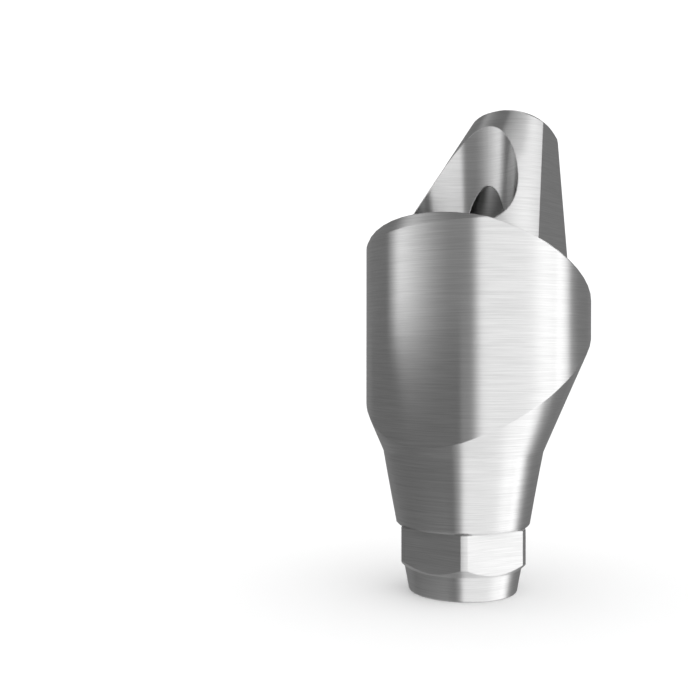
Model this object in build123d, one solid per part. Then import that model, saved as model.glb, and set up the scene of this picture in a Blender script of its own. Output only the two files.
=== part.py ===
from build123d import *
import os
from math import cos, radians, sin, tan

os.makedirs("parts", exist_ok=True)

# Angled dental abutment, milled from one bar of titanium.
# Z is the implant axis, z = 0 is the lower end that goes deepest into the implant,
# and the crown post leans towards +X.

# Pilot ring below the hexagon
pilot_end_diameter = 2.24
pilot_top_diameter = 2.43
pilot_height = 0.51
pilot_edge_radius = 0.05

# Hexagon that keys the abutment in the implant
hex_across_flats = 2.50
hex_corner_diameter = 2.81
hex_height = 0.87
hex_chamfer_height = 0.18

# Sealing cone above the hexagon
cone_end_diameter = 2.77
cone_end_chamfer = 0.04
cone_height = 1.53
cone_top_diameter = 3.32

# Emergence body: a flare on the implant axis inside an offset vertical wall.
# On the side away from the lean the wall leaves only a narrow flare.
flare_half_angle = 23.3
wall_diameter = 4.75
narrow_flare_width = 0.08

# Inclined shoulder that carries the crown margin, turned down round the post on its high side
shoulder_tilt = 28.0
shoulder_height = 6.485
heel_diameter = 5.10
heel_shift = -0.10

# Sloped collar between the ledge and the foot of the post
ledge_width = 0.40
collar_height = 0.28

# Crown post, square to the shoulder
post_half_angle = 14.5
post_length = 3.76
post_tip_diameter = 2.03
post_tip_chamfer = 0.15

# Flat milled on one side of the post
flat_tip_distance = 0.965
flat_half_angle = 13.7
flat_direction = -98.0

# Blind hole along the post
post_hole_diameter = 1.06
post_hole_depth = 3.02
post_hole_countersink = 1.40
drill_point_angle = 118.0

# Screw channel along the implant axis
channel_diameter = 2.28
seat_height = 2.85
seat_angle = 90.0
screw_bore_diameter = 1.75

# Levels and radii that follow from the sizes above
hex_top = pilot_height + hex_height
cone_top = hex_top + cone_height
hex_corner_radius = hex_corner_diameter / 2
cone_end_radius = cone_end_diameter / 2
channel_radius = channel_diameter / 2
bore_radius = screw_bore_diameter / 2
wall_radius = wall_diameter / 2
wall_offset = wall_radius - cone_top_diameter / 2 - narrow_flare_width
collar_radius = wall_radius - ledge_width
post_tip_radius = post_tip_diameter / 2
post_top = post_length + post_tip_chamfer
seat_top = seat_height + (channel_radius - bore_radius) / tan(radians(seat_angle / 2))

# The shoulder plane, with its origin on the wall's axis and its normal along the post
shoulder = Plane(
    origin=(wall_offset, 0, shoulder_height),
    x_dir=(cos(radians(shoulder_tilt)), 0, -sin(radians(shoulder_tilt))),
    z_dir=(sin(radians(shoulder_tilt)), 0, cos(radians(shoulder_tilt))),
)

# Stock height well above the post, and an overlap that buries one form in the next
clear_height = 2 * (shoulder_height + post_top)
overlap = 0.25


def post_radius(height):
    """Radius of the post's cone at a height above the shoulder."""
    return post_tip_radius + (post_length - height) * tan(radians(post_half_angle))


def revolved(points):
    """Solid of revolution about Z from (radius, height) points."""
    outline = Plane.XZ * make_face(Polyline(*points, close=True))
    return revolve(outline, Axis.Z)


def pilot_ring():
    """Slightly tapered ring that centres the abutment below the hexagon."""
    ring = revolved([
        (0, 0),
        (pilot_end_diameter / 2, 0),
        (pilot_top_diameter / 2, pilot_height),
        (0, pilot_height),
    ])
    lower_edge = ring.edges().sort_by(Axis.Z)[0]
    return fillet(lower_edge, pilot_edge_radius)


def hexagon():
    """Hexagonal key with its corners turned down and its lower end chamfered."""
    prism = Pos(0, 0, pilot_height) * extrude(
        RegularPolygon(hex_across_flats / 2, 6, major_radius=False, rotation=30),
        hex_height,
    )
    envelope = revolved([
        (0, pilot_height),
        (pilot_top_diameter / 2, pilot_height),
        (hex_corner_radius, pilot_height + hex_chamfer_height),
        (hex_corner_radius, hex_top),
        (0, hex_top),
    ])
    return prism & envelope


def emergence_body():
    """Sealing cone and flare, trimmed by the offset wall and by the shoulder."""
    wall_top = shoulder_height + wall_diameter
    flare_radius = cone_top_diameter / 2 + (wall_top - cone_top) * tan(radians(flare_half_angle))
    turned = revolved([
        (0, hex_top),
        (cone_end_radius - cone_end_chamfer, hex_top),
        (cone_end_radius, hex_top + cone_end_chamfer),
        (cone_top_diameter / 2, cone_top),
        (flare_radius, wall_top),
        (0, wall_top),
    ])
    wall = Pos(wall_offset, 0, 0) * Cylinder(
        wall_radius, wall_top, align=(Align.CENTER, Align.CENTER, Align.MIN)
    )
    return split(turned & wall, shoulder, keep=Keep.BOTTOM) - heel_waste()


def heel_waste():
    """Stock turned away round the post where the shoulder stands highest."""
    ring = Rectangle(2 * wall_diameter, 2 * wall_diameter) - Circle(heel_diameter / 2)
    high_half = Pos(-wall_diameter, 0) * Rectangle(2 * wall_diameter, 4 * wall_diameter)
    outline = Pos(0, heel_shift) * ring & high_half
    return shoulder * extrude(outline, wall_radius, both=True)


def collar():
    """Sloped band from the ledge's inner edge up to the round foot of the post."""
    ledge_edge = shoulder * Ellipse(collar_radius / cos(radians(shoulder_tilt)), collar_radius)
    post_foot = shoulder.offset(collar_height) * Circle(post_radius(collar_height))
    root = extrude(ledge_edge, -overlap)
    return root + loft([ledge_edge.face(), post_foot.face()], ruled=True)


def post():
    """Tapered crown post with a chamfered tip and one flat side."""
    foot = collar_height
    cone = revolved([
        (0, foot),
        (post_radius(foot), foot),
        (post_tip_radius, post_length),
        (post_tip_radius - post_tip_chamfer, post_top),
        (0, post_top),
    ])
    flat_foot_distance = flat_tip_distance + (post_length - foot) * tan(radians(flat_half_angle))
    outside = 2 * post_radius(foot)
    waste = Plane.XZ * make_face(Polyline(
        (flat_foot_distance, foot),
        (outside, foot),
        (outside, post_length + post_tip_chamfer * 2),
        (flat_tip_distance - 2 * post_tip_chamfer * tan(radians(flat_half_angle)),
         post_length + post_tip_chamfer * 2),
        close=True,
    ))
    waste = extrude(waste, outside, both=True)
    return shoulder * (cone - Rot(0, 0, flat_direction) * waste)


def screw_channel():
    """Channel for the screw head, its conical seat and the screw's clearance bore."""
    return revolved([
        (0, -overlap),
        (bore_radius, -overlap),
        (bore_radius, seat_height),
        (channel_radius, seat_top),
        (channel_radius, clear_height),
        (0, clear_height),
    ])


def post_hole():
    """Blind hole down the post with a drilled end and a countersunk mouth."""
    hole_radius = post_hole_diameter / 2
    mouth_radius = post_hole_countersink / 2
    hole_end = post_top - post_hole_depth
    point_length = hole_radius / tan(radians(drill_point_angle / 2))
    return shoulder * revolved([
        (0, hole_end - point_length),
        (hole_radius, hole_end),
        (hole_radius, post_top - (mouth_radius - hole_radius)),
        (mouth_radius + overlap, post_top + overlap),
        (0, post_top + overlap),
    ])


def abutment_body():
    """The whole abutment as one solid."""
    outside = pilot_ring() + hexagon() + emergence_body() + collar() + post()
    return outside - screw_channel() - post_hole()


export_step(abutment_body(), "parts/abutment_body.step")
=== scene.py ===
from math import cos, radians, sin

import bpy
import numpy as np
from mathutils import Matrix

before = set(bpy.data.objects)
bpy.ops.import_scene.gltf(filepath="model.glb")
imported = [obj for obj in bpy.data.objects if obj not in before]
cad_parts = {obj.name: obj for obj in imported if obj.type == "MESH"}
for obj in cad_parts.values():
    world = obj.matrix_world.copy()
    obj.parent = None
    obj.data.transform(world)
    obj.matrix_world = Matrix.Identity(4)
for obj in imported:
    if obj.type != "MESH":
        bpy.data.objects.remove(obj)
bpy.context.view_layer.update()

mm = 0.001


# colours are written as sRGB hex and turned to linear here, and only here
def colour(hexText):
    values = [int(hexText[i:i + 2], 16) / 255 for i in (1, 3, 5)]
    linear = [v / 12.92 if v <= 0.04045 else ((v + 0.055) / 1.055) ** 2.4 for v in values]
    return (*linear, 1.0)


# adds one node, sets its values and links its inputs
def addNode(tree, kind, settings=None, inputs=None, links=None):
    node = tree.nodes.new(kind)
    for name, value in (settings or {}).items():
        setattr(node, name, value)
    for name, value in (inputs or {}).items():
        node.inputs[name].default_value = value
    for name, source in (links or {}).items():
        tree.links.new(source, node.inputs[name])
    return node


# the view: a 50 mm lens close to the part, level, from the open side of the post
view = {
    "lens": 50.0,
    "sensor": 36.0,
    "nearClip": 1 * mm,
    "distance": 20.15 * mm,
    "height": 5.097 * mm,
    "azimuth": -151.0,
    "turn": 7.07,
    "lift": 0.06,
}


def makeCamera():
    data = bpy.data.cameras.new("camera")
    data.lens = view["lens"]
    data.sensor_width = view["sensor"]
    data.clip_start = view["nearClip"]
    camera = bpy.data.objects.new("camera", data)
    bpy.context.scene.collection.objects.link(camera)
    angle = radians(view["azimuth"])
    camera.location = (view["distance"] * cos(angle), view["distance"] * sin(angle), view["height"])
    # looking at the implant axis, then turned left so that the part stands right of centre
    camera.rotation_euler = (radians(90 + view["lift"]), 0, angle + radians(90 + view["turn"]))
    bpy.context.scene.camera = camera
    print("camera", [round(c / mm, 2) for c in camera.location])


makeCamera()


# studio: the metal sees grey bands round the part, brightest at the right, and all else gets plain white
# each stop is azimuth in degrees, 0 at the view's side and positive to the right, then brightness
# from highStart up to highEnd they turn into highBands, from lowStart down to lowEnd into lowBands
# the levels began as greys read off the photographed part at 15 to 20 places, then were set one by one
studio = {
    "bands": [
        (-180, 0.12), (-103, 0.11), (-95, 0.38), (-87, 0.68), (-71, 0.54), (-44, 0.26),
        (-30, 0.18), (-7, 0.18), (3, 0.72), (12, 0.74), (52, 0.74), (66, 0.86), (76, 0.84),
        (81, 0.74), (87, 1.00), (96, 0.84), (105, 0.22), (116, 0.14), (140, 0.12), (180, 0.12),
    ],
    "highBands": [
        (-180, 0.10), (70, 0.10), (84, 0.90), (104, 1.00), (114, 0.20), (180, 0.13),
    ],
    "highStart": 37.0,
    "highEnd": 49.0,
    "lowBands": [
        (-180, 0.20), (-105, 0.22), (-44, 0.28), (-30, 0.18), (-7, 0.18), (3, 0.62), (66, 0.60),
        (84, 0.86), (114, 0.96), (126, 0.40), (140, 0.20), (180, 0.20),
    ],
    "lowStart": -18.0,
    "lowEnd": -34.0,
    "strength": 2.25,
    "backdrop": "#FFFFFF",
    "fill": 1.15,
}


# 0 to 1 as an angle goes from start to end, both in degrees
def sweep(tree, source, start, end):
    place = addNode(tree, "ShaderNodeMapRange", {"clamp": True},
                    {"From Min": radians(start), "From Max": radians(end)}, {"Value": source})
    return place.outputs[0]


# grey ramp once round the part, with (degrees, brightness) stops
def greyRamp(tree, source, stops):
    ramp = addNode(tree, "ShaderNodeValToRGB", links={"Fac": sweep(tree, source, -180, 180)})
    elements = ramp.color_ramp.elements
    elements.remove(elements[1])
    elements[0].position = 0
    elements[0].color = (stops[0][1],) * 3 + (1,)
    for degree, level in stops[1:]:
        element = elements.new((degree + 180) / 360)
        element.color = (level, level, level, 1)
    return ramp.outputs["Color"]


# goes from one colour to another by a factor
def blend(tree, factor, first, second):
    mix = addNode(tree, "ShaderNodeMix", {"data_type": "RGBA"}, links={0: factor, 6: first, 7: second})
    return mix.outputs[2]


def makeStudio():
    world = bpy.data.worlds.new("studio")
    bpy.context.scene.world = world
    world.use_nodes = True
    tree = world.node_tree
    tree.nodes.clear()
    coords = addNode(tree, "ShaderNodeTexCoord")
    # the bands stand still: azimuth 0 is a fixed direction, turned to the view's side
    turned = addNode(tree, "ShaderNodeMapping", {"vector_type": "POINT"},
                     {"Rotation": (0, 0, radians(-view["azimuth"]))},
                     {"Vector": coords.outputs["Generated"]})
    parts = addNode(tree, "ShaderNodeSeparateXYZ", links={"Vector": turned.outputs[0]})
    angle = addNode(tree, "ShaderNodeMath", {"operation": "ARCTAN2"},
                    links={0: parts.outputs["Y"], 1: parts.outputs["X"]}).outputs[0]
    rise = addNode(tree, "ShaderNodeMath", {"operation": "ARCSINE"}, links={0: parts.outputs["Z"]}).outputs[0]
    bands = greyRamp(tree, angle, studio["bands"])
    highBands = greyRamp(tree, angle, studio["highBands"])
    lowBands = greyRamp(tree, angle, studio["lowBands"])
    high = sweep(tree, rise, studio["highStart"], studio["highEnd"])
    low = sweep(tree, rise, studio["lowStart"], studio["lowEnd"])
    level = blend(tree, low, blend(tree, high, bands, highBands), lowBands)
    lit = addNode(tree, "ShaderNodeBackground", inputs={"Strength": studio["strength"]},
                  links={"Color": level})
    plain = addNode(tree, "ShaderNodeBackground",
                    inputs={"Color": colour(studio["backdrop"]), "Strength": studio["fill"]})
    path = addNode(tree, "ShaderNodeLightPath")
    either = addNode(tree, "ShaderNodeMixShader",
                     links={0: path.outputs["Is Glossy Ray"], 1: plain.outputs[0], 2: lit.outputs[0]})
    addNode(tree, "ShaderNodeOutputWorld", links={"Surface": either.outputs[0]})
    bpy.context.scene.view_settings.view_transform = "Standard"
    print("studio", len(studio["bands"]), "bands")


makeStudio()


# object from points and faces, with one material
def makeSheet(name, points, faces, material):
    mesh = bpy.data.meshes.new(name)
    mesh.from_pydata(points, [], faces)
    mesh.materials.append(material)
    sheet = bpy.data.objects.new(name, mesh)
    bpy.context.scene.collection.objects.link(sheet)
    return sheet


# white board under the part, lit evenly so that it runs into the backdrop
board = {"size": 4000 * mm, "albedo": "#FAFAFA", "roughness": 0.9, "specular": 0.0}


def makeBoard():
    half = board["size"] / 2
    corners = [(-half, -half, 0), (half, -half, 0), (half, half, 0), (-half, half, 0)]
    material = bpy.data.materials.new("matt white board")
    material.use_nodes = True
    shader = material.node_tree.nodes["Principled BSDF"]
    shader.inputs["Base Color"].default_value = colour(board["albedo"])
    shader.inputs["Roughness"].default_value = board["roughness"]
    shader.inputs["Specular IOR Level"].default_value = board["specular"]
    floor = makeSheet("board", corners, [(0, 1, 2, 3)], material)
    floor.visible_glossy = False  # the metal sees the studio's low bands instead
    print("board")


makeBoard()


# low dark card on the left, seen by the metal only, which darkens the lower left of the part
card = {
    "distance": 3.8 * mm,
    "bottom": -2.0 * mm,
    "top": 5.3 * mm,
    "from": -112.0,
    "to": -10.0,
    "steps": 16,
    "level": 0.22,
}


# upright strip bent round the implant axis: an arc of one radius, by its bottom and top heights
def makeCard():
    side = np.radians(view["azimuth"] + np.linspace(card["from"], card["to"], card["steps"] + 1))
    points = np.empty((len(side), 2, 3))
    points[:, :, 0] = (card["distance"] * np.cos(side))[:, None]
    points[:, :, 1] = (card["distance"] * np.sin(side))[:, None]
    points[:, :, 2] = (card["bottom"], card["top"])
    faces = 2 * np.arange(card["steps"])[:, None] + (0, 2, 3, 1)
    material = bpy.data.materials.new("dark card")
    material.use_nodes = True
    tree = material.node_tree
    tree.nodes.clear()
    glow = addNode(tree, "ShaderNodeEmission", inputs={"Color": (card["level"],) * 3 + (1,)})
    addNode(tree, "ShaderNodeOutputMaterial", links={"Surface": glow.outputs[0]})
    sheet = makeSheet("card", points.reshape(-1, 3).tolist(), faces.tolist(), material)
    sheet.visible_camera = False
    sheet.visible_diffuse = False
    sheet.visible_shadow = False
    print("card")


makeCard()


# milled titanium: bare turned metal, neutral grey and unpolished
# the eye sees reflections drawn out up and down, across fine marks that run round the implant axis
# the marks are drawn 0.02 mm apart, coarser than real ones, so that they show at this size
titanium = {
    "base": "#CFCFCF",
    "dark": "#BDBDBD",
    "roughness": 0.33,
    "anisotropy": 1.0,
    "grainTurn": 0.25,  # a quarter turn, so that gloss spreads across the marks
    "grainNudge": 0.001,  # keeps the grain's direction defined on level faces
    "markGap": 0.02 * mm,
    "markLength": 1.0 * mm,
    "markDepth": 0.00025 * mm,
    "markDetail": 3.0,
    "markBreakup": 0.65,
    "markContrast": (0.32, 0.68),
    "edgeBreak": 0.03 * mm,
    "edgeSamples": 6,
}


def milledTitanium():
    material = bpy.data.materials.new("milled titanium")
    material.use_nodes = True
    tree = material.node_tree
    shader = tree.nodes["Principled BSDF"]
    shader.inputs["Metallic"].default_value = 1.0
    shader.inputs["Roughness"].default_value = titanium["roughness"]
    shader.inputs["Anisotropic"].default_value = titanium["anisotropy"]
    shader.inputs["Anisotropic Rotation"].default_value = titanium["grainTurn"]
    place = addNode(tree, "ShaderNodeTexCoord").outputs["Object"]
    # grain direction round the implant axis: up crossed with the surface's normal
    facing = addNode(tree, "ShaderNodeNewGeometry").outputs["Normal"]
    around = addNode(tree, "ShaderNodeVectorMath", {"operation": "CROSS_PRODUCT"},
                     {0: (0, 0, 1)}, {1: facing})
    grain = addNode(tree, "ShaderNodeVectorMath", {"operation": "ADD"},
                    {1: (0, titanium["grainNudge"], 0)}, {0: around.outputs[0]})
    tree.links.new(grain.outputs[0], shader.inputs["Tangent"])
    # marks: noise drawn out round the axis
    along = 1 / titanium["markLength"]
    across = 1 / titanium["markGap"]
    stretched = addNode(tree, "ShaderNodeMapping", inputs={"Scale": (along, along, across)},
                        links={"Vector": place})
    marks = addNode(tree, "ShaderNodeTexNoise",
                    inputs={"Scale": 1.0, "Detail": titanium["markDetail"],
                            "Roughness": titanium["markBreakup"]},
                    links={"Vector": stretched.outputs[0]}).outputs["Fac"]
    low, high = titanium["markContrast"]
    contrast = addNode(tree, "ShaderNodeMapRange", {"clamp": True}, {"From Min": low, "From Max": high},
                       {"Value": marks})
    tone = addNode(tree, "ShaderNodeMix", {"data_type": "RGBA"},
                   {6: colour(titanium["dark"]), 7: colour(titanium["base"])}, {0: contrast.outputs[0]})
    tree.links.new(tone.outputs[2], shader.inputs["Base Color"])
    # edges are broken by a hair, as milled edges are
    edges = addNode(tree, "ShaderNodeBevel", {"samples": titanium["edgeSamples"]},
                    {"Radius": titanium["edgeBreak"]})
    relief = addNode(tree, "ShaderNodeBump", inputs={"Strength": 1.0, "Distance": titanium["markDepth"]},
                     links={"Height": marks, "Normal": edges.outputs[0]})
    tree.links.new(relief.outputs[0], shader.inputs["Normal"])
    print("titanium")
    return material


# the CAD shape stays as it is and takes the metal
def dressNodes():
    metal = milledTitanium()
    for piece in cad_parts.values():
        piece.data.materials.clear()
        piece.data.materials.append(metal)
    print("dressed", len(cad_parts), "node")


dressNodes()
